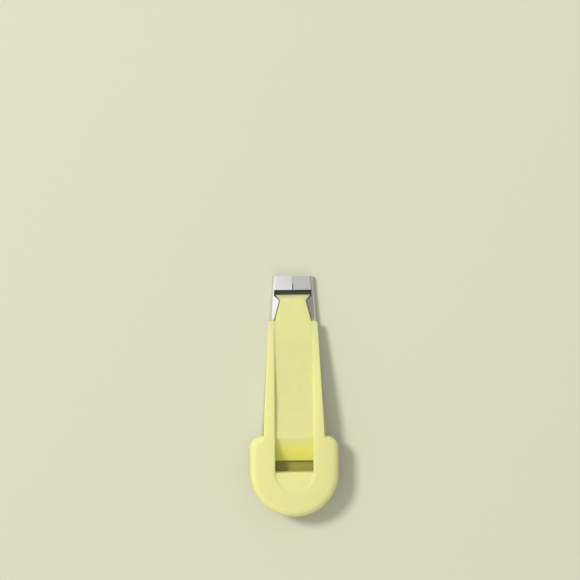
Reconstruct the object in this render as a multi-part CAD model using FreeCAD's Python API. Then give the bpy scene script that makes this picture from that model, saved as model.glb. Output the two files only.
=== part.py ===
import FreeCAD, Part
import math
import os

# Fusible bias tape maker for 12 mm tape: a folded metal channel, a plastic web guide on top of it,
# and a plastic tongue between the two. The strip of cloth runs in under the round head, wraps round
# the tongue and leaves at the metal tip. The ribbon of web comes up through the slot in the head,
# runs along the channel on top and goes down the nose into the tip.
# Millimetres, +Z up, the tip towards +Y, the origin under the middle of the part.
# A station is a distance back from the tip's front edge.

# Overall
TOTAL_LENGTH = 76.0
TAPE_WIDTH = 12.0

# Metal folder
SHEET = 0.4
TAPE_PLAY = 0.15
FOLDER_SPREAD = math.radians(4.66)
FLOOR_BEND = 0.7
TIP_HEIGHT = 2.6
TIP_BEND = 0.7
TIP_SPRING = 0.15
TIP_LENGTH = 4.4
TIP_SEAM = 0.3
MOUTH_LENGTH = 1.8
MOUTH_DEPTH = 1.0
LIP_SLANT = 1.65
LIP_FOLD_HEIGHT = 2.5
WALL_FRONT_LEAN = 0.75
LIP_FRONT_LEAN = 3.37
LIP_FRONT_RIM = 2.9
LIP_SHOULDER_LEAN = 1.4
LIP_SHOULDER_RIM = 3.35
LIP_SHOULDER_BEND = 1.2
WALL_UPRIGHT_STATION = 41.0
WALL_HEIGHT = 5.0
WALL_LEAN = 0.25
WALL_BEND = 6.0
WALL_END_STATION = 57.0
WALL_CORNER = 3.5
FLOOR_BULGE = 3.5
AWL_SLIT_WIDTH = 2.4
AWL_SLIT_START = 17.0
AWL_SLIT_LENGTH = 30.0

# Gaps between the pieces
CLOTH_GAP = 0.5
CLOTH_SIDE_GAP = 0.55
LIP_GAP = 0.2
KEEL_GAP = 0.3
FLANK_GAP = 0.5
PIN_GAP = 0.05

# Plastic tongue
FORMER_FRONT_STATION = 2.5
FORMER_REAR_STATION = 64.0
FORMER_FRONT_THICKNESS = 0.5
FORMER_SLOPE = 0.05
FORMER_EDGE = 0.2
FORMER_CORNER = 1.6
FORMER_REAR_EDGE = 1.1
PIN_RADIUS = 1.3
PIN_LENGTH = 1.6
PIN_CHAMFER = 0.25
COLLAR_RADIUS = 2.5
FRONT_PIN_STATION = 24.0
REAR_PIN_STATION = 45.0
REAR_PIN_OFFSET = 2.9

# Web guide: neck and channel
NOSE_STATION = 5.95
NOSE_EDGE = 0.3
NOSE_HALF_WIDTH = 5.5
NOSE_SIDE_LENGTH = 0.3
NOSE_RUN = 1.8
NECK_TOP = 3.4
CHANNEL_RISE = math.radians(6.6)
SHOULDER_STATION = 14.3
SHOULDER_OVERHANG = 0.1
SHOULDER_CORNER = 0.8
CHANNEL_WIDTH = 12.1
RAIL_HEIGHT = 1.6
RAIL_START_STATION = 15.6
RAIL_FULL_STATION = 39.0
RAIL_END_STATION = 54.0
RAIL_START_HEIGHT = 0.06
RAIL_ROUNDING = 0.4
GUIDE_SKIN = 1.4
POCKET_START_STATION = 20.0
POCKET_WIDTH = 11.0

# Web guide: head
HEAD_RADIUS = 13.9
HEAD_FRONT_STATION = 50.5
HEAD_CORNER = 3.9
HEAD_TOP = 10.3
HEAD_CROWN_RADIUS = 220.0
HEAD_EDGE = 2.2
HEAD_FOOT_EDGE = 0.6
HEAD_FOOT_GAP = 0.25
HEAD_WALL = 1.6
HEAD_ROOF = 2.4
RAMP_TOP_STATION = 51.0
RAMP_LENGTH = 7.6
RAMP_DROP = 3.3
RAMP_LIP = 0.5
SLOT_LENGTH = 3.3
SCOOP_DEPTH = 0.85
SCOOP_LENGTH = 8.0
SCOOP_RUN = 7.8
SCOOP_FLARE = 0.6
SCOOP_ROUNDING = 2.0
CHANNEL_EDGE = 0.3
CHANNEL_EDGE_OVERRUN = 0.6

# Reach of the cutting shapes past what they cut
BEYOND = 5.0

LIP_SHOULDER_STATION = SHOULDER_STATION
FLOOR_END_STATION = WALL_END_STATION + FLOOR_BULGE
HEAD_CENTRE_STATION = TOTAL_LENGTH - HEAD_RADIUS
HEAD_FOOT = WALL_HEIGHT + HEAD_FOOT_GAP
HEAD_CAVITY_ROOF = HEAD_TOP - HEAD_ROOF
SLOT_START_STATION = RAMP_TOP_STATION + RAMP_LENGTH
SLOT_END_STATION = SLOT_START_STATION + SLOT_LENGTH
CHUTE_END_STATION = SLOT_END_STATION + GUIDE_SKIN
CHUTE_HALF_WIDTH = CHANNEL_WIDTH / 2 + GUIDE_SKIN


def between(station, start, end):
    """A value on the straight line through two (station, value) pairs."""
    share = (station - start[0]) / (end[0] - start[0])
    return start[1] + share * (end[1] - start[1])


def folder_half_width(station):
    """Half of the folder's width over its walls."""
    tip = TAPE_WIDTH / 2 + TAPE_PLAY / 2 + SHEET
    return tip + station * math.tan(FOLDER_SPREAD)


def wall_lean(station):
    """How far the wall leans in between its foot and the fold line."""
    if station < LIP_SHOULDER_STATION:
        return WALL_FRONT_LEAN
    if station < WALL_UPRIGHT_STATION:
        return between(station, (LIP_SHOULDER_STATION, WALL_FRONT_LEAN),
                       (WALL_UPRIGHT_STATION, 0.0))
    return 0.0


def wall_foot(station):
    """Half of the width to the corner that the floor bend rounds off."""
    half_turn = (math.pi / 2 + math.atan2(wall_lean(station), LIP_FOLD_HEIGHT)) / 2
    return folder_half_width(station) + FLOOR_BEND * (math.tan(half_turn) - 1)


def wall_line(station, height):
    """Half of the width to the wall's outer face at a height."""
    return wall_foot(station) - wall_lean(station) * height / LIP_FOLD_HEIGHT


def lip_lean(station):
    """How far in from the wall's outer face the lip's edge lies."""
    shoulder = (LIP_SHOULDER_STATION, LIP_SHOULDER_LEAN)
    if station < LIP_SHOULDER_STATION:
        return between(station, (TIP_LENGTH, LIP_FRONT_LEAN), shoulder)
    if station < WALL_UPRIGHT_STATION:
        return between(station, shoulder, (WALL_UPRIGHT_STATION, WALL_LEAN))
    return WALL_LEAN


def lip_rim(station):
    """Height of the top of the lip's edge."""
    shoulder = (LIP_SHOULDER_STATION, LIP_SHOULDER_RIM)
    if station < LIP_SHOULDER_STATION:
        return between(station, (TIP_LENGTH, LIP_FRONT_RIM), shoulder)
    if station < WALL_UPRIGHT_STATION:
        return between(station, shoulder, (WALL_UPRIGHT_STATION, WALL_HEIGHT))
    return WALL_HEIGHT


def lip_edge(station):
    """Half of the gap between the lips' inner edges."""
    return folder_half_width(station) - lip_lean(station) - SHEET * wall_thickness_share(station)


def wall_thickness_share(station):
    """How much of the sheet's thickness lies inside the lip's edge: more, the steeper the lip."""
    edge = folder_half_width(station) - lip_lean(station)
    run = wall_line(station, LIP_FOLD_HEIGHT) - edge
    rise = lip_rim(station) - LIP_FOLD_HEIGHT
    return rise / math.hypot(run, rise)


def former_top(station):
    """Height of the tongue's upper face."""
    return SHEET + FORMER_FRONT_THICKNESS + FORMER_SLOPE * (station - FORMER_FRONT_STATION)


def guide_underside(station):
    """Height of the guide's lower face, one cloth gap above the tongue."""
    return former_top(station) + CLOTH_GAP


def channel_floor(station):
    """Height of the surface that the web runs on."""
    return NECK_TOP + (station - NOSE_STATION - NOSE_RUN) * math.tan(CHANNEL_RISE)


def head_crown(x, station):
    """Height of the head's crowned top."""
    middle = (HEAD_FRONT_STATION + TOTAL_LENGTH) / 2
    away = math.hypot(x, station - middle)
    return HEAD_TOP - HEAD_CROWN_RADIUS + math.sqrt(HEAD_CROWN_RADIUS ** 2 - away ** 2)


def rail_top(station):
    """Height of the rails' tops, which end flush with the head's top."""
    full = (RAIL_FULL_STATION, channel_floor(RAIL_FULL_STATION) + RAIL_HEIGHT)
    if station < RAIL_FULL_STATION:
        start = (RAIL_START_STATION, channel_floor(RAIL_START_STATION) + RAIL_START_HEIGHT)
        return between(station, start, full)
    end = head_crown(body_half_width(RAIL_END_STATION), RAIL_END_STATION)
    return between(station, full, (RAIL_END_STATION, end))


def body_half_width(station):
    """Half of the guide's width over its flanks."""
    shoulder = folder_half_width(SHOULDER_STATION) + SHOULDER_OVERHANG
    rear = folder_half_width(HEAD_FRONT_STATION) - SHEET - FLANK_GAP
    return between(station, (SHOULDER_STATION, shoulder), (HEAD_FRONT_STATION, rear))


def point(x, station, z):
    """A point of the part at a station."""
    return FreeCAD.Vector(x, TOTAL_LENGTH / 2 - station, z)


def side_prism(profile, half_width):
    """A shape with one side view, as wide as given, from (station, height) points."""
    corners = [point(-half_width, station, z) for station, z in profile]
    face = Part.Face(Part.makePolygon(corners + corners[:1]))
    return face.extrude(FreeCAD.Vector(2 * half_width, 0, 0))


def plan_prism(half_outline, bottom, top):
    """A mirrored shape seen from above, from (half width, station) points."""
    right = [point(half, station, bottom) for half, station in half_outline]
    left = [point(-half, station, bottom) for half, station in reversed(half_outline)]
    corners = right + left
    face = Part.Face(Part.makePolygon(corners + corners[:1]))
    return face.extrude(FreeCAD.Vector(0, 0, top - bottom))


def upright_cylinder(radius, x, station, bottom, top):
    """A standing cylinder."""
    return Part.makeCylinder(radius, top - bottom, point(x, station, bottom))


def only_solid(shape):
    """The one solid of a finished piece."""
    if len(shape.Solids) != 1:
        raise ValueError(f"a piece has {len(shape.Solids)} solids, not one")
    return shape.Solids[0]


def edges_where(shape, test):
    """The edges whose bounding box passes a test."""
    return [edge for edge in shape.Edges if test(edge.BoundBox)]


def offset_path(points, distance):
    """A path of (x, z) points moved to its left by a distance."""
    moved = []
    for index, (x, z) in enumerate(points):
        before = points[max(index - 1, 0)]
        after = points[min(index + 1, len(points) - 1)]
        first = math.atan2(z - before[1], x - before[0]) if index else None
        second = math.atan2(after[1] - z, after[0] - x) if index < len(points) - 1 else None
        first = second if first is None else first
        second = first if second is None else second
        middle = (first + second) / 2
        reach = distance / math.cos((second - first) / 2)
        moved.append((x - reach * math.sin(middle), z + reach * math.cos(middle)))
    return moved


def rounded_path(corners, radii):
    """Edges along a path of points, with an arc of the given radius at each inner point."""
    edges = []
    last = corners[0]
    for index in range(1, len(corners) - 1):
        corner = corners[index]
        back = (corners[index - 1] - corner).normalize()
        ahead = (corners[index + 1] - corner).normalize()
        half_turn = (math.pi - back.getAngle(ahead)) / 2
        trim = radii[index - 1] * math.tan(half_turn)
        start = corner + back * trim
        end = corner + ahead * trim
        bisector = (back + ahead).normalize()
        depth = radii[index - 1] * (1 / math.cos(half_turn) - 1)
        edges.append(Part.LineSegment(last, start).toShape())
        edges.append(Part.Arc(start, corner + bisector * depth, end).toShape())
        last = end
    edges.append(Part.LineSegment(last, corners[-1]).toShape())
    return edges


def closed_wire(edges, start, end):
    """A wire of the edges, closed by a straight edge from the last point to the first."""
    return Part.Wire(Part.__sortEdges__(edges + [Part.LineSegment(end, start).toShape()]))


def floor_edge(station):
    """Half of the width of the folder's flat floor, a little short of the bends."""
    return folder_half_width(station) - FLOOR_BEND - SHEET


def sheet_section(path, radii, station):
    """One side of the folded sheet cut across: its outer face, its inner face and its ends."""
    inner_radii = [radius - SHEET for radius in radii]
    outer = [point(x, station, z) for x, z in path]
    inner = [point(x, station, z) for x, z in offset_path(path, SHEET)]
    edges = rounded_path(outer, radii) + rounded_path(inner, inner_radii)
    edges.append(Part.LineSegment(outer[-1], inner[-1]).toShape())
    return closed_wire(edges, outer[0], inner[0])


def band_section(station):
    """One side of the closed tip, up to the seam where its flap meets the other."""
    path = [(floor_edge(station), 0.0), (wall_foot(station), 0.0),
            (wall_line(station, TIP_HEIGHT), TIP_HEIGHT),
            (TIP_SEAM / 2, TIP_HEIGHT + TIP_SPRING)]
    return sheet_section(path, [FLOOR_BEND, TIP_BEND], station)


def lip_section(station, bend):
    """One side of the open channel: the wall and what leans in above its fold line."""
    path = [(floor_edge(station), 0.0), (wall_foot(station), 0.0),
            (wall_line(station, LIP_FOLD_HEIGHT), LIP_FOLD_HEIGHT),
            (folder_half_width(station) - lip_lean(station), lip_rim(station))]
    return sheet_section(path, [FLOOR_BEND, bend], station)


def mouth_cut():
    """The hole between the tip's flaps and the lips, with the lips' slanting front edges."""
    back = TIP_LENGTH + MOUTH_LENGTH
    inner = lip_edge(back + LIP_SLANT)
    outline = [(wall_line(station, LIP_FOLD_HEIGHT) - SHEET, station)
               for station in (TIP_LENGTH, back)]
    outline.append((inner, back + LIP_SLANT))
    return plan_prism(outline, TIP_HEIGHT - MOUTH_DEPTH, TIP_HEIGHT + BEYOND)


def folder_rear_cut():
    """What is trimmed off the folder's rear: outside the floor's bulge and the walls' corners."""
    half = folder_half_width(WALL_END_STATION)
    radius = (half ** 2 + FLOOR_BULGE ** 2) / (2 * FLOOR_BULGE)
    start = WALL_END_STATION - WALL_CORNER
    behind = plan_prism([(half + BEYOND, start), (half + BEYOND, FLOOR_END_STATION + BEYOND)],
                        -BEYOND, WALL_HEIGHT + BEYOND)
    disc = upright_cylinder(radius, 0.0, FLOOR_END_STATION - radius, -BEYOND,
                            WALL_HEIGHT + BEYOND)
    corner_block = side_prism([(start, WALL_HEIGHT - WALL_CORNER), (start, WALL_HEIGHT + BEYOND),
                               (FLOOR_END_STATION + BEYOND, WALL_HEIGHT + BEYOND),
                               (FLOOR_END_STATION + BEYOND, WALL_HEIGHT - WALL_CORNER)],
                              half + BEYOND)
    corner_round = Part.makeCylinder(WALL_CORNER, 2 * half + 4 * BEYOND,
                                     point(-half - 2 * BEYOND, start, WALL_HEIGHT - WALL_CORNER),
                                     FreeCAD.Vector(1, 0, 0))
    return behind.cut(disc).fuse(corner_block.cut(corner_round))


def awl_slit():
    """The long hole in the floor where an awl pushes the strip along."""
    radius = AWL_SLIT_WIDTH / 2
    end = AWL_SLIT_START + AWL_SLIT_LENGTH
    slit = plan_prism([(radius, AWL_SLIT_START + radius), (radius, end - radius)],
                      -BEYOND, SHEET + FLOOR_BEND)
    for station in (AWL_SLIT_START + radius, end - radius):
        slit = slit.fuse(upright_cylinder(radius, 0.0, station, -BEYOND, SHEET + FLOOR_BEND))
    return slit


def make_tape_folder():
    """The folded sheet metal channel with its closed tip."""
    middle = FreeCAD.Vector(0, 0, 0)
    across = FreeCAD.Vector(1, 0, 0)
    band = Part.makeLoft([band_section(0.0), band_section(TIP_LENGTH)], True, True)
    side = Part.makeLoft([
        lip_section(TIP_LENGTH, TIP_BEND),
        lip_section(LIP_SHOULDER_STATION, LIP_SHOULDER_BEND),
        lip_section(WALL_UPRIGHT_STATION, WALL_BEND),
        lip_section(FLOOR_END_STATION, WALL_BEND),
    ], True, True)
    side = side.cut(mouth_cut()).cut(folder_rear_cut())
    side = side.fuse(band)
    floor = plan_prism([(floor_edge(0.0), 0.0), (floor_edge(FLOOR_END_STATION), FLOOR_END_STATION)],
                       0.0, SHEET)
    floor = floor.cut(folder_rear_cut()).cut(awl_slit())
    return only_solid(floor.fuse(side).fuse(side.mirror(middle, across)))


def pin_places():
    """Where the tongue's pins stand, as (x, station)."""
    return [(0.0, FRONT_PIN_STATION), (-REAR_PIN_OFFSET, REAR_PIN_STATION),
            (REAR_PIN_OFFSET, REAR_PIN_STATION)]


def former_half_width(station):
    """Half of the tongue's width, one cloth gap inside the folder's walls."""
    return folder_half_width(station) - SHEET - CLOTH_SIDE_GAP


def make_fabric_former():
    """The tongue that the strip wraps round, with the pins that hold it to the guide."""
    front = FORMER_FRONT_STATION
    rear = FORMER_REAR_STATION
    plan = plan_prism([(former_half_width(front), front), (former_half_width(rear), rear)],
                      0.0, HEAD_TOP)
    plan = plan.makeFillet(FORMER_CORNER, edges_where(plan, lambda box: box.ZLength > SHEET))
    profile = [(front, SHEET), (front, former_top(front)), (rear, former_top(rear)),
               (rear, SHEET)]
    half = folder_half_width(rear)
    corners = [point(-half, station, z) for station, z in profile + profile[:1]]
    edges = rounded_path(corners, [FORMER_EDGE, FORMER_REAR_EDGE, FORMER_REAR_EDGE])
    side = Part.Face(Part.Wire(edges))
    blade = side.extrude(FreeCAD.Vector(2 * half, 0, 0)).common(plan)
    for x, station in pin_places():
        shoulder = guide_underside(station)
        blade = blade.fuse(upright_cylinder(COLLAR_RADIUS, x, station, SHEET, shoulder))
        pin = upright_cylinder(PIN_RADIUS, x, station, SHEET, shoulder + PIN_LENGTH)
        tip = edges_where(pin, lambda box: box.ZMin > shoulder)
        blade = blade.fuse(pin.makeChamfer(PIN_CHAMFER, tip))
    return only_solid(blade)


def make_neck_and_keel():
    """The part of the guide between the folder's lips, from the nose to under the head."""
    nose_top = NOSE_STATION + NOSE_RUN
    end = RAMP_TOP_STATION
    front_bottom = guide_underside(NOSE_STATION)
    profile = [(NOSE_STATION, front_bottom), (NOSE_STATION, front_bottom + NOSE_EDGE),
               (nose_top, channel_floor(nose_top)), (end, channel_floor(end)),
               (end, guide_underside(end))]
    neck_end = lip_edge(SHOULDER_STATION) - LIP_GAP
    keel_start = lip_edge(SHOULDER_STATION) - KEEL_GAP
    keel_end = lip_edge(WALL_UPRIGHT_STATION) - KEEL_GAP
    keel_rear = lip_edge(end) - KEEL_GAP
    plan = plan_prism([(NOSE_HALF_WIDTH, NOSE_STATION),
                       (NOSE_HALF_WIDTH, NOSE_STATION + NOSE_SIDE_LENGTH),
                       (lip_edge(nose_top) - LIP_GAP, nose_top), (neck_end, SHOULDER_STATION),
                       (keel_start, SHOULDER_STATION), (keel_end, WALL_UPRIGHT_STATION),
                       (keel_rear, end)], 0.0, HEAD_TOP)
    core = side_prism(profile, folder_half_width(end)).common(plan)
    flanks = plan_prism([(body_half_width(NOSE_STATION), NOSE_STATION),
                         (body_half_width(end), end)], 0.0, HEAD_TOP)
    return core.common(flanks)


def make_shoulder_slab():
    """The part of the guide that covers the folder's lips."""
    start = SHOULDER_STATION
    turn = WALL_UPRIGHT_STATION
    end = RAMP_TOP_STATION
    profile = [(start, lip_rim(start) + LIP_GAP), (start, channel_floor(start)),
               (end, channel_floor(end)), (end, lip_rim(end) + LIP_GAP),
               (turn, lip_rim(turn) + LIP_GAP)]
    plan = plan_prism([(body_half_width(start), start), (body_half_width(end), end)],
                      0.0, HEAD_TOP)
    corners = edges_where(plan, lambda box: box.ZLength > HEAD_TOP / 2
                          and box.YMin > point(0, start, 0).y - 1e-6)
    plan = plan.makeFillet(SHOULDER_CORNER, corners)
    return side_prism(profile, folder_half_width(end)).common(plan)


def rail_section(station, side):
    """One rail cut across: rounded on top, standing a little into the channel's floor."""
    inner = CHANNEL_WIDTH / 2
    outer = body_half_width(station)
    top = rail_top(station)
    height = top - channel_floor(station)
    rounding = RAIL_ROUNDING * height / RAIL_HEIGHT
    bottom = channel_floor(station) - GUIDE_SKIN / 4
    path = [(inner, bottom), (inner, top), (outer, top), (outer, bottom)]
    corners = [point(side * x, station, z) for x, z in path]
    edges = rounded_path(corners, [rounding, rounding])
    return closed_wire(edges, corners[0], corners[-1])


def make_rail(side):
    """A rail that rises out of the channel's floor and runs back into the head."""
    stations = (RAIL_START_STATION, RAIL_FULL_STATION, RAIL_END_STATION)
    return Part.makeLoft([rail_section(station, side) for station in stations], True, True)


def head_outline(inset):
    """The head's outline from above: rounded front corners and a half round rear."""
    half = HEAD_RADIUS - inset
    front = HEAD_FRONT_STATION + inset
    corner = HEAD_CORNER - inset
    cut = corner * (1 - math.sqrt(0.5))
    centre = HEAD_CENTRE_STATION
    right_front = point(half - corner, front, HEAD_FOOT)
    right_side = point(half, front + corner, HEAD_FOOT)
    left_front = point(corner - half, front, HEAD_FOOT)
    left_side = point(-half, front + corner, HEAD_FOOT)
    right_rear = point(half, centre, HEAD_FOOT)
    left_rear = point(-half, centre, HEAD_FOOT)
    edges = [
        Part.LineSegment(left_front, right_front).toShape(),
        Part.Arc(right_front, point(half - cut, front + cut, HEAD_FOOT), right_side).toShape(),
        Part.LineSegment(right_side, right_rear).toShape(),
        Part.Arc(right_rear, point(0.0, centre + half, HEAD_FOOT), left_rear).toShape(),
        Part.LineSegment(left_rear, left_side).toShape(),
        Part.Arc(left_side, point(cut - half, front + cut, HEAD_FOOT), left_front).toShape(),
    ]
    return Part.Face(Part.Wire(edges))


def make_head_shell():
    """The round head's crowned, hollow shell, open below."""
    rise = FreeCAD.Vector(0, 0, HEAD_TOP - HEAD_FOOT + BEYOND)
    block = head_outline(0.0).extrude(rise)
    middle = (HEAD_FRONT_STATION + TOTAL_LENGTH) / 2
    crown = Part.makeSphere(HEAD_CROWN_RADIUS, point(0.0, middle, HEAD_TOP - HEAD_CROWN_RADIUS))
    block = block.common(crown)
    block = block.makeFillet(HEAD_EDGE, edges_where(
        block, lambda box: box.ZMin > (HEAD_FOOT + HEAD_TOP) / 2))
    block = block.makeFillet(HEAD_FOOT_EDGE, edges_where(
        block, lambda box: box.ZMax < HEAD_FOOT + 1e-6))
    depth = FreeCAD.Vector(0, 0, HEAD_CAVITY_ROOF - HEAD_FOOT)
    return block.cut(head_outline(HEAD_WALL).extrude(depth))


def make_chute():
    """The box inside the head that holds the ramp and the slot."""
    front = HEAD_FRONT_STATION
    turn = SLOT_START_STATION - RAMP_LIP
    low = guide_underside(turn)
    profile = [(front, low), (turn, low), (SLOT_START_STATION, HEAD_FOOT - GUIDE_SKIN / 2),
               (CHUTE_END_STATION, HEAD_FOOT), (CHUTE_END_STATION, HEAD_CAVITY_ROOF + HEAD_ROOF / 2),
               (front, HEAD_CAVITY_ROOF + HEAD_ROOF / 2)]
    return side_prism(profile, CHUTE_HALF_WIDTH)


def channel_cut():
    """What is open above the web's path: the channel, the ramp and the slot."""
    lip = channel_floor(RAMP_TOP_STATION) - RAMP_DROP
    start = NOSE_STATION
    over = HEAD_TOP + BEYOND
    profile = [(start, channel_floor(start)), (RAMP_TOP_STATION, channel_floor(RAMP_TOP_STATION)),
               (SLOT_START_STATION, lip), (SLOT_START_STATION, -BEYOND),
               (SLOT_END_STATION, -BEYOND), (SLOT_END_STATION, over), (start, over)]
    return side_prism(profile, CHANNEL_WIDTH / 2)


def edge_flare_section(station):
    """What rounds the channel's upper edge in the head, cut across."""
    inner = CHANNEL_WIDTH / 2
    outer = inner + CHANNEL_EDGE
    top = head_crown(outer, station)
    bend = CHANNEL_EDGE * math.sqrt(0.5)
    low = point(inner, station, top - CHANNEL_EDGE)
    middle = point(outer - bend, station, top - CHANNEL_EDGE + bend)
    high = point(outer, station, top)
    corners = [high, point(outer, station, top + BEYOND),
               point(inner - CHANNEL_EDGE, station, top + BEYOND),
               point(inner - CHANNEL_EDGE, station, top - CHANNEL_EDGE), low]
    edges = [Part.LineSegment(a, b).toShape() for a, b in zip(corners, corners[1:])]
    return Part.Wire([Part.Arc(low, middle, high).toShape()] + edges)


def edge_flares():
    """The rounding of both upper edges of the channel in the head, to just past the slot."""
    stations = (HEAD_FRONT_STATION - CHANNEL_EDGE_OVERRUN,
                SLOT_END_STATION + CHANNEL_EDGE_OVERRUN)
    flare = Part.makeLoft([edge_flare_section(station) for station in stations], True, True)
    return flare.fuse(flare.mirror(FreeCAD.Vector(0, 0, 0), FreeCAD.Vector(1, 0, 0)))


def scoop_cut():
    """The thumb scoop behind the slot: its floor climbs to the head's top in a round end."""
    start = SLOT_END_STATION
    over = HEAD_TOP + BEYOND
    half = CHANNEL_WIDTH / 2 + CHANNEL_EDGE + SCOOP_FLARE
    ellipse = Part.Ellipse(point(0.0, start + SCOOP_LENGTH, 0.0), point(half, start, 0.0),
                           point(0.0, start, 0.0))
    plan = Part.Face(Part.Wire(ellipse.toShape())).extrude(FreeCAD.Vector(0, 0, over))
    front = start - SCOOP_LENGTH - BEYOND
    rear = start + SCOOP_LENGTH + BEYOND
    floor = ((start, HEAD_TOP - SCOOP_DEPTH), (start + SCOOP_RUN, HEAD_TOP))
    wedge = side_prism([(front, between(front, *floor)), (rear, between(rear, *floor)),
                        (rear, over + BEYOND), (front, over + BEYOND)], HEAD_RADIUS)
    bowl = wedge.common(plan)
    bowl = bowl.makeFillet(SCOOP_ROUNDING, edges_where(
        bowl, lambda box: box.ZMax < over - 1e-6 and box.XLength > half))
    ahead = side_prism([(front, 0.0), (start, 0.0), (start, over + BEYOND),
                        (front, over + BEYOND)], HEAD_RADIUS)
    return bowl.cut(ahead)


def make_head():
    """The whole head, with the ramp, the slot and the scoop cut into it."""
    head = make_head_shell().fuse(make_chute())
    return head.cut(channel_cut()).cut(scoop_cut()).cut(edge_flares())


def make_web_guide():
    """The moulded guide: neck, channel, rails and head in one piece."""
    pocket_end = HEAD_FRONT_STATION - GUIDE_SKIN
    start = POCKET_START_STATION
    body = make_neck_and_keel().fuse(make_shoulder_slab())
    for side in (-1, 1):
        body = body.fuse(make_rail(side))
    pocket = side_prism([(start, 0.0), (start, channel_floor(start) - GUIDE_SKIN),
                         (pocket_end, channel_floor(pocket_end) - GUIDE_SKIN),
                         (pocket_end, 0.0)], POCKET_WIDTH / 2)
    body = body.cut(pocket).fuse(make_head())
    for x, station in pin_places():
        foot = guide_underside(station)
        roof = channel_floor(station) - GUIDE_SKIN / 2
        body = body.fuse(upright_cylinder(COLLAR_RADIUS, x, station, foot, roof))
        body = body.cut(upright_cylinder(PIN_RADIUS + PIN_GAP, x, station, foot,
                                         foot + PIN_LENGTH + PIN_GAP))
    return only_solid(body)


def main():
    os.makedirs("parts", exist_ok=True)
    pieces = {
        "tape_folder": make_tape_folder(),
        "fabric_former": make_fabric_former(),
        "web_guide": make_web_guide(),
    }
    for name, shape in pieces.items():
        shape.exportStep(os.path.join("parts", f"{name}.step"))
        print(name, "valid", shape.isValid(), "volume", round(shape.Volume, 2))


main()
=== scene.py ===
import logging
import math
from dataclasses import dataclass
from enum import Enum

import bmesh
import bpy
from mathutils import Euler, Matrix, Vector


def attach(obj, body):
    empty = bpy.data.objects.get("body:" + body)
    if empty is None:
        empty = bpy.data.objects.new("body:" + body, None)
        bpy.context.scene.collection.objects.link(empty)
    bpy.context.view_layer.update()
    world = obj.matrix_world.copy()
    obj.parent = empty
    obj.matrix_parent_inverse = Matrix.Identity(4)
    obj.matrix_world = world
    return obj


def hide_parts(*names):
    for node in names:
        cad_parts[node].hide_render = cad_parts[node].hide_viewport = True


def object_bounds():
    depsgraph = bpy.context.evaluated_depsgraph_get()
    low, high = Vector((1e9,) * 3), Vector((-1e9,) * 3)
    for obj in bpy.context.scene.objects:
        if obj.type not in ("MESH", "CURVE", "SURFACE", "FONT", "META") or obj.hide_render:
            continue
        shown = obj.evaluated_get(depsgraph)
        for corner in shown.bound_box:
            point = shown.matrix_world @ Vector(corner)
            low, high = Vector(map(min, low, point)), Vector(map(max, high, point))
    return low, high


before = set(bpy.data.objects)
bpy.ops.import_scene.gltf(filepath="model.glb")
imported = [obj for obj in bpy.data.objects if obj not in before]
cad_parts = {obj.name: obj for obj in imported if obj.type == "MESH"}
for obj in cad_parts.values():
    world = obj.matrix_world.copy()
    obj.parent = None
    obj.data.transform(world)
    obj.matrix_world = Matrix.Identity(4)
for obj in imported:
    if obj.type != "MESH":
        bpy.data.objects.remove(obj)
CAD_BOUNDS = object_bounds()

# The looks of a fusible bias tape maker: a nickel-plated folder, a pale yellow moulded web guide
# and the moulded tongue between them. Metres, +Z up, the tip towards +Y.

Colour = tuple[float, float, float]
Span = tuple[float, float]

LOG = logging.getLogger("tape_maker")
BODY = "root"
PHOTO_SIZE = 580
MM = 0.001
WHITE: Colour = (1.0, 1.0, 1.0)
RISING: Span = (0.0, 1.0)
FALLING: Span = (1.0, 0.0)
NOISE_MIDDLE = 0.5


class Way(Enum):
    """The direction that a finish's grain runs in: how much each axis is scaled."""

    ALONG = (1.0, 0.06, 1.0)
    EVEN = (1.0, 1.0, 1.0)


def srgb(red: int, green: int, blue: int) -> Colour:
    """A colour written as it looks, in the renderer's own units.

    Args:
        red: red from 0 to 255.
        green: green from 0 to 255.
        blue: blue from 0 to 255.

    Returns:
        The linear colour.
    """
    shares = (part / 255 for part in (red, green, blue))
    return tuple(s / 12.92 if s <= 0.04045 else ((s + 0.055) / 1.055) ** 2.4 for s in shares)


@dataclass(frozen=True)
class Grain:
    """One noise of a finish: its waves in a metre, its finer layers and the way it runs."""

    waves: float
    layers: float
    way: Way = Way.EVEN


class Value:
    """A number that varies over a surface: a shader socket that sums can be written with."""

    def __init__(self, graph: "Graph", socket: bpy.types.NodeSocket) -> None:
        """Keeps the socket.

        Args:
            graph: the graph that the socket belongs to.
            socket: the output socket.
        """
        self.graph = graph
        self.socket = socket

    def __add__(self, other: "float | Value") -> "Value":
        """Adds a value or a number."""
        return self.graph.maths("ADD", self, other)

    __radd__ = __add__

    def __sub__(self, other: "float | Value") -> "Value":
        """Takes a value or a number away."""
        return self.graph.maths("SUBTRACT", self, other)

    def __rsub__(self, other: "float | Value") -> "Value":
        """Takes this value away from a number."""
        return self.graph.maths("SUBTRACT", other, self)

    def __mul__(self, other: "float | Value") -> "Value":
        """Multiplies by a value or a number."""
        return self.graph.maths("MULTIPLY", self, other)

    __rmul__ = __mul__

    def __abs__(self) -> "Value":
        """This value without its sign."""
        return self.graph.maths("ABSOLUTE", self, 0.0)

    def clamped(self) -> "Value":
        """This value kept between 0 and 1."""
        node = self.graph.node("ShaderNodeClamp", {}, {"Value": self})
        return Value(self.graph, node.outputs["Result"])


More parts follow.
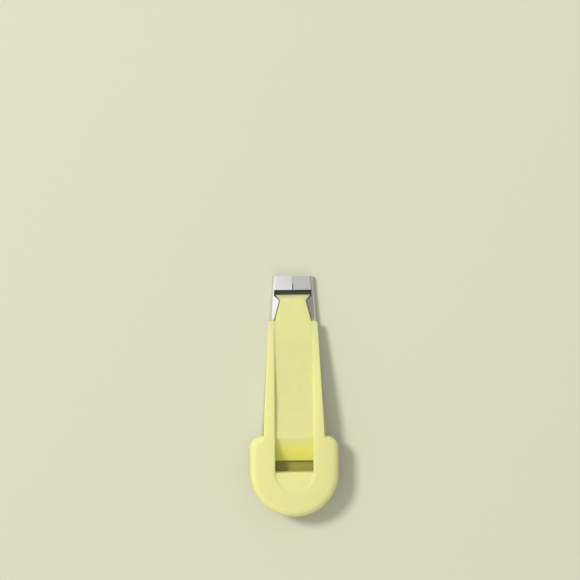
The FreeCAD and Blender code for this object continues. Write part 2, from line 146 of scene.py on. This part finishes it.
class Graph:
    """A node tree that is filled by plain calls."""

    def __init__(self, tree: bpy.types.NodeTree) -> None:
        """Empties the tree.

        Args:
            tree: the node tree to fill.
        """
        self.tree = tree
        tree.nodes.clear()

    def node(self, kind: str, settings: dict, sockets: dict) -> bpy.types.Node:
        """Adds a node.

        Args:
            kind: the node's type name.
            settings: properties of the node, set first.
            sockets: values or links for its inputs, by name or number.

        Returns:
            The new node.
        """
        node = self.tree.nodes.new(kind)
        for name, value in settings.items():
            setattr(node, name, value)
        for name, value in sockets.items():
            self.feed(node.inputs[name], value)
        return node

    def feed(self, socket: bpy.types.NodeSocket, value: object) -> None:
        """Links or sets an input socket.

        Args:
            socket: the input socket.
            value: a Value, an output socket, a number or a tuple.
        """
        source = value.socket if isinstance(value, Value) else value
        if isinstance(source, bpy.types.NodeSocket):
            self.tree.links.new(source, socket)
        elif isinstance(source, tuple) and socket.type == "RGBA":
            socket.default_value = (*source, 1.0)
        else:
            socket.default_value = source

    def maths(self, operation: str, first: "float | Value", second: "float | Value") -> Value:
        """One sum of two values.

        Args:
            operation: the Math node's operation.
            first: the left value.
            second: the right value.

        Returns:
            The result.
        """
        node = self.node("ShaderNodeMath", {"operation": operation}, {0: first, 1: second})
        return Value(self, node.outputs[0])

    def axes(self, vector: bpy.types.NodeSocket) -> tuple[Value, Value, Value]:
        """The three parts of a vector.

        Args:
            vector: the vector.

        Returns:
            Its X, Y and Z parts.
        """
        parts = self.node("ShaderNodeSeparateXYZ", {}, {"Vector": vector}).outputs
        return Value(self, parts["X"]), Value(self, parts["Y"]), Value(self, parts["Z"])

    def object_place(self, way: Way) -> bpy.types.NodeSocket:
        """The place on the piece, in its own metres.

        Args:
            way: how much each axis is scaled.

        Returns:
            The coordinates.
        """
        place = self.node("ShaderNodeTexCoord", {}, {}).outputs["Object"]
        mapping = self.node("ShaderNodeMapping", {}, {"Vector": place, "Scale": way.value})
        return mapping.outputs["Vector"]

    def noise(self, grain: Grain) -> Value:
        """Even noise from 0 to 1.

        Args:
            grain: the noise's scale, layers and way.

        Returns:
            The noise.
        """
        place = self.object_place(grain.way)
        sockets = {"Vector": place, "Scale": grain.waves, "Detail": grain.layers}
        node = self.node("ShaderNodeTexNoise", {"noise_dimensions": "3D"}, sockets)
        return Value(self, node.outputs["Fac"])

    def range(self, value: Value, span: Span, ends: Span) -> Value:
        """A value moved from one range to another and kept inside it.

        Args:
            value: the value.
            span: the old low and high end.
            ends: what they become.

        Returns:
            The moved value.
        """
        sockets = {"Value": value, "From Min": span[0], "From Max": span[1],
                   "To Min": ends[0], "To Max": ends[1]}
        return Value(self, self.node("ShaderNodeMapRange", {}, sockets).outputs["Result"])

    def blend(self, factor: "float | Value", first: object, second: object) -> bpy.types.NodeSocket:
        """A mix of two colours.

        Args:
            factor: the second colour's share.
            first: the first colour or link.
            second: the second colour or link.

        Returns:
            The mixed colour.
        """
        node = self.node("ShaderNodeMix", {"data_type": "RGBA"}, {0: factor, 6: first, 7: second})
        return node.outputs[2]

    def bump(self, height: Value, depth: float, strength: float) -> bpy.types.NodeSocket:
        """A surface's fine relief.

        Args:
            height: the relief from 0 to 1.
            depth: the height of 1, in metres.
            strength: how much of it shows.

        Returns:
            The normal.
        """
        sockets = {"Height": height, "Distance": depth, "Strength": strength}
        return self.node("ShaderNodeBump", {}, sockets).outputs["Normal"]


@dataclass(frozen=True)
class Finish:
    """What every finish has."""

    name: str
    colour: Colour

    def material(self) -> bpy.types.Material:
        """Makes the material.

        Returns:
            The material.
        """
        material = bpy.data.materials.new(self.name)
        material.use_nodes = True
        graph = Graph(material.node_tree)
        shader = graph.node("ShaderNodeBsdfPrincipled", {}, self.shader_values(graph))
        graph.node("ShaderNodeOutputMaterial", {}, {"Surface": shader.outputs["BSDF"]})
        return material

    def shader_values(self, graph: Graph) -> dict:
        """The shader's inputs; each finish has its own."""
        return {"Base Color": self.colour}


@dataclass(frozen=True)
class MouldedPlastic(Finish):
    """Smooth moulded plastic that lets light in."""

    deep_colour: Colour
    roughness: float = 0.34
    refraction: float = 1.49
    glow: float = 1.0
    glow_depth: float = 2.6 * MM
    glow_reach: Colour = (1.0, 0.92, 0.10)
    flow: Grain = Grain(160.0, 2.0, Way.ALONG)
    flow_share: float = 0.3
    flow_roughness: float = 0.06
    cloud: Grain = Grain(45.0, 1.0)
    drift_span: Span = (0.35, 0.65)
    drift_ends: Span = (0.0, 0.3)
    scuff: Grain = Grain(420.0, 5.0)
    scuff_span: Span = (0.56, 0.74)
    scuff_roughness: float = 0.08
    mould_grain: Grain = Grain(9000.0, 2.0)
    relief_depth: float = 0.012 * MM
    relief_strength: float = 0.35

    def shader_values(self, graph: Graph) -> dict:
        """Colour drift, flow marks, faint scuffs and the mould's fine grain.

        Args:
            graph: the material's graph.

        Returns:
            The shader's inputs.
        """
        flow = graph.noise(self.flow)
        cloud = graph.noise(self.cloud)
        grain = graph.noise(self.mould_grain)
        scuffs = graph.range(graph.noise(self.scuff), self.scuff_span, RISING)
        flow_part = flow * self.flow_share
        rest = 1 - self.flow_share
        drift = graph.range(cloud * rest + flow_part, self.drift_span, self.drift_ends)
        flow_wear = (flow - NOISE_MIDDLE) * self.flow_roughness
        roughness = self.roughness + scuffs * self.scuff_roughness + flow_wear
        relief = grain * rest + flow_part
        return {
            "Base Color": graph.blend(drift, self.colour, self.deep_colour),
            "Roughness": roughness.clamped(),
            "Normal": graph.bump(relief, self.relief_depth, self.relief_strength),
            "IOR": self.refraction,
            "Subsurface Weight": self.glow,
            "Subsurface Radius": self.glow_reach,
            "Subsurface Scale": self.glow_depth,
        }


@dataclass(frozen=True)
class GuidePlastic(MouldedPlastic):
    """The guide's plastic, with painted shade down the ramp: a deeper yellow in place of the shade
    that falls there.
    """

    # Painted shade: the deeper yellow of the ramp and where on the piece it lies.
    ramp_shade_colour: Colour = srgb(245, 238, 122)
    ramp_sides: Span = (5.6 * MM, 6.1 * MM)
    ramp_front: Span = (-16.6 * MM, -13.0 * MM)
    ramp_rear: Span = (-21.5 * MM, -21.0 * MM)

    def shader_values(self, graph: Graph) -> dict:
        """The moulded plastic's inputs, with painted shade down the ramp.

        Args:
            graph: the material's graph.

        Returns:
            The shader's inputs.
        """
        values = super().shader_values(graph)
        across, along, _ = graph.axes(graph.object_place(Way.EVEN))
        sides = graph.range(abs(across), self.ramp_sides, FALLING)
        front = graph.range(along, self.ramp_front, FALLING)
        rear = graph.range(along, self.ramp_rear, RISING)
        # Painted shade: the ramp's mask turns the base colour to a deeper yellow where shade falls.
        ramp = sides * front * rear
        values["Base Color"] = graph.blend(ramp, values["Base Color"], self.ramp_shade_colour)
        return values


@dataclass(frozen=True)
class TonguePlastic(MouldedPlastic):
    """The tongue's plastic, with painted shade at its front end, which lies in the folder's mouth.
    """

    # Painted shade: the dark colour of the tongue's front end and where it begins.
    front_shade_colour: Colour = srgb(68, 70, 36)
    front_shade_span: Span = (15.0 * MM, 24.0 * MM)

    def shader_values(self, graph: Graph) -> dict:
        """The moulded plastic's inputs, with painted shade on the front end.

        Args:
            graph: the material's graph.

        Returns:
            The shader's inputs.
        """
        values = super().shader_values(graph)
        _, along, _ = graph.axes(graph.object_place(Way.EVEN))
        # Painted shade: the front of the tongue is darkened where it lies in the mouth's shade.
        front = graph.range(along, self.front_shade_span, RISING)
        values["Base Color"] = graph.blend(front, values["Base Color"], self.front_shade_colour)
        return values


@dataclass(frozen=True)
class NickelPlate(Finish):
    """Bright nickel over rolled and folded sheet."""

    haze_colour: Colour
    roughness: float = 0.17
    rolling: Grain = Grain(5200.0, 3.0, Way.ALONG)
    rolling_roughness: float = 0.10
    haze: Grain = Grain(130.0, 4.0)
    haze_span: Span = (0.38, 0.72)
    haze_tint: float = 0.5
    haze_roughness: float = 0.10
    ripple: Grain = Grain(210.0, 1.0)
    ripple_share: float = 0.65
    relief_depth: float = 0.02 * MM
    relief_strength: float = 0.5

    def shader_values(self, graph: Graph) -> dict:
        """Rolling lines along the sheet, faint haze and slight ripples.

        Args:
            graph: the material's graph.

        Returns:
            The shader's inputs.
        """
        rolled = graph.noise(self.rolling)
        haze = graph.range(graph.noise(self.haze), self.haze_span, RISING)
        ripple = graph.noise(self.ripple)
        rolled_wear = (rolled - NOISE_MIDDLE) * self.rolling_roughness
        roughness = self.roughness + haze * self.haze_roughness + rolled_wear
        relief = rolled * (1 - self.ripple_share) + ripple * self.ripple_share
        return {
            "Base Color": graph.blend(haze * self.haze_tint, self.colour, self.haze_colour),
            "Metallic": 1.0,
            "Roughness": roughness.clamped(),
            "Normal": graph.bump(relief, self.relief_depth, self.relief_strength),
        }


@dataclass(frozen=True)
class PaleBoard(Finish):
    """The plain matt board that the part lies on."""

    roughness: float = 0.8
    fibre: Grain = Grain(700.0, 3.0)
    relief_depth: float = 0.03 * MM
    relief_strength: float = 0.15

    def shader_values(self, graph: Graph) -> dict:
        """An even colour over fine fibres.

        Args:
            graph: the material's graph.

        Returns:
            The shader's inputs.
        """
        fibres = graph.noise(self.fibre)
        return {
            "Base Color": self.colour,
            "Roughness": self.roughness,
            "Normal": graph.bump(fibres, self.relief_depth, self.relief_strength),
        }


YELLOW = GuidePlastic("guide_plastic", srgb(236, 234, 165), srgb(232, 229, 150))
# The tongue's olive is its own plastic darkened with painted shade, for the deep shade it lies in
# under the slot and in the mouth.
OLIVE = TonguePlastic("former_plastic", srgb(158, 155, 76), srgb(146, 143, 66),
                      roughness=0.42, glow=0.1)
NICKEL = NickelPlate("nickel_plate", (0.80, 0.79, 0.77), (0.70, 0.69, 0.68))
BOARD = PaleBoard("pale_board", srgb(222, 223, 196))


@dataclass
class DressedNode:
    """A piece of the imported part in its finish, shaded smoothly between its true edges."""

    node: str
    slot: str
    finish: Finish
    edge_angle: float = math.radians(28)
    weld: float = 0.0005 * MM
    flat_weight: int = 100

    def build(self) -> bpy.types.Object:
        """Makes the smooth copy and puts it in the node's place.

        Returns:
            The new piece.
        """
        piece = bpy.data.objects.new(f"{self.node}_skin", self.clean_mesh())
        bpy.context.scene.collection.objects.link(piece)
        self.keep_flats(piece)
        self.dress(piece)
        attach(piece, BODY)
        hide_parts(self.node)
        return piece

    def clean_mesh(self) -> bpy.types.Mesh:
        """Joins the node's loose triangles and marks the true edges.

        Returns:
            The joined mesh.
        """
        mesh = bpy.data.meshes.new(f"{self.node}_mesh")
        work = bmesh.new()
        work.from_mesh(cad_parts[self.node].data)
        bmesh.ops.remove_doubles(work, verts=work.verts, dist=self.weld)
        for face in work.faces:
            face.smooth = True
        for edge in work.edges:
            edge.smooth = edge.is_manifold and edge.calc_face_angle() <= self.edge_angle
        work.to_mesh(mesh)
        work.free()
        return mesh

    def keep_flats(self, piece: bpy.types.Object) -> None:
        """Keeps flat faces flat beside the rounded ones.

        Args:
            piece: the piece.
        """
        flat = piece.modifiers.new("flat_faces", "WEIGHTED_NORMAL")
        flat.mode = "FACE_AREA"
        flat.weight = self.flat_weight
        flat.keep_sharp = True

    def dress(self, piece: bpy.types.Object) -> None:
        """Gives the piece its finish.

        Args:
            piece: the piece.
        """
        piece.data.materials.clear()
        piece.data.materials.append(self.finish.material())


@dataclass
class Floor:
    """The board under the part."""

    half_size: float = 1.5

    def build(self) -> bpy.types.Object:
        """Makes the board just under the part.

        Returns:
            The board.
        """
        low, _ = CAD_BOUNDS
        corners = [(-1, -1), (1, -1), (1, 1), (-1, 1)]
        points = [(x * self.half_size, y * self.half_size, low[2]) for x, y in corners]
        mesh = bpy.data.meshes.new("board")
        mesh.from_pydata(points, [], [(0, 1, 2, 3)])
        mesh.materials.append(BOARD.material())
        board = bpy.data.objects.new("board", mesh)
        bpy.context.scene.collection.objects.link(board)
        return board


@dataclass
class PhotoCamera:
    """A camera straight above, framed as the photograph is."""

    pixels_per_mm: float = 3.15
    tip_pixel: tuple[float, float] = (292.65, 276.0)
    roll: float = math.radians(0.52)
    lens: float = 100.0
    sensor: float = 36.0
    near: float = 0.01

    def build(self) -> bpy.types.Object:
        """Places the camera over the point that lies at the photo's centre.

        Returns:
            The camera.
        """
        low, high = CAD_BOUNDS
        metres_per_pixel = MM / self.pixels_per_mm
        across = (PHOTO_SIZE / 2 - self.tip_pixel[0]) * metres_per_pixel
        down = (PHOTO_SIZE / 2 - self.tip_pixel[1]) * metres_per_pixel
        turned = Euler((0.0, 0.0, -self.roll)).to_matrix() @ Vector((across, -down, 0.0))
        distance = PHOTO_SIZE * metres_per_pixel * self.lens / self.sensor
        middle_height = (low[2] + high[2]) / 2
        data = bpy.data.cameras.new("photo_camera")
        data.lens = self.lens
        data.sensor_width = self.sensor
        data.clip_start = self.near
        camera = bpy.data.objects.new("photo_camera", data)
        camera.location = (turned.x, high[1] + turned.y, middle_height + distance)
        camera.rotation_euler = (0.0, 0.0, -self.roll)
        bpy.context.scene.collection.objects.link(camera)
        bpy.context.scene.camera = camera
        return camera


@dataclass
class StudioLight:
    """One soft lamp from the upper left over an even surround."""

    key_from: tuple[float, float, float] = (-0.71, 0.46, 1.0)
    key_distance: float = 2.5
    key_size: float = 0.62
    key_power: float = 37.0
    surround: float = 0.52
    window: Colour = (1.15, 1.16, 1.19)
    dim_side: Colour = (0.33, 0.33, 0.31)
    window_edge: Span = (-0.14, 0.18)
    horizon: Span = (-0.02, 0.12)

    def build(self) -> None:
        """Makes the lamp and the surround."""
        self.aim_key()
        self.make_surround()

    def aim_key(self) -> None:
        """Aims the lamp at the part."""
        data = bpy.data.lights.new("key_lamp", "AREA")
        data.shape = "DISK"
        data.size = self.key_size
        data.energy = self.key_power
        lamp = bpy.data.objects.new("key_lamp", data)
        way = Vector(self.key_from).normalized()
        lamp.location = way * self.key_distance
        lamp.rotation_euler = way.to_track_quat("Z", "Y").to_euler()
        lamp.visible_glossy = False
        bpy.context.scene.collection.objects.link(lamp)

    def make_surround(self) -> None:
        """An even surround, which polished metal sees as a room lit from its left."""
        world = bpy.data.worlds.new("surround")
        world.use_nodes = True
        bpy.context.scene.world = world
        graph = Graph(world.node_tree)
        way = graph.node("ShaderNodeTexCoord", {}, {}).outputs["Generated"]
        side, _, height = graph.axes(way)
        left = graph.range(side, self.window_edge, FALLING)
        above = graph.range(height, self.horizon, RISING)
        room = graph.blend(left * above, self.dim_side, self.window)
        path = graph.node("ShaderNodeLightPath", {}, {}).outputs
        camera = Value(graph, path["Is Camera Ray"])
        glossy = Value(graph, path["Is Glossy Ray"])
        through = Value(graph, path["Is Transmission Ray"])
        seen = graph.blend(glossy, WHITE, room)
        colour = graph.blend((camera + glossy + through).clamped(), (self.surround,) * 3, seen)
        background = graph.node("ShaderNodeBackground", {}, {"Color": colour, "Strength": 1.0})
        graph.node("ShaderNodeOutputWorld", {}, {"Surface": background.outputs["Background"]})


def main() -> None:
    """Builds the scene in order."""
    logging.basicConfig(level=logging.INFO, format="%(name)s: %(message)s")
    bpy.context.scene.view_settings.view_transform = "Standard"
    Floor().build()
    StudioLight().build()
    PhotoCamera().build()
    pieces = [
        DressedNode("tape_folder", "nickel_plate", NICKEL),
        DressedNode("fabric_former", "former_plastic", OLIVE),
        DressedNode("web_guide", "guide_plastic", YELLOW),
    ]
    for piece in pieces:
        made = piece.build()
        LOG.info("%s built with %d faces", made.name, len(made.data.polygons))


if __name__ == "__main__":
    main()
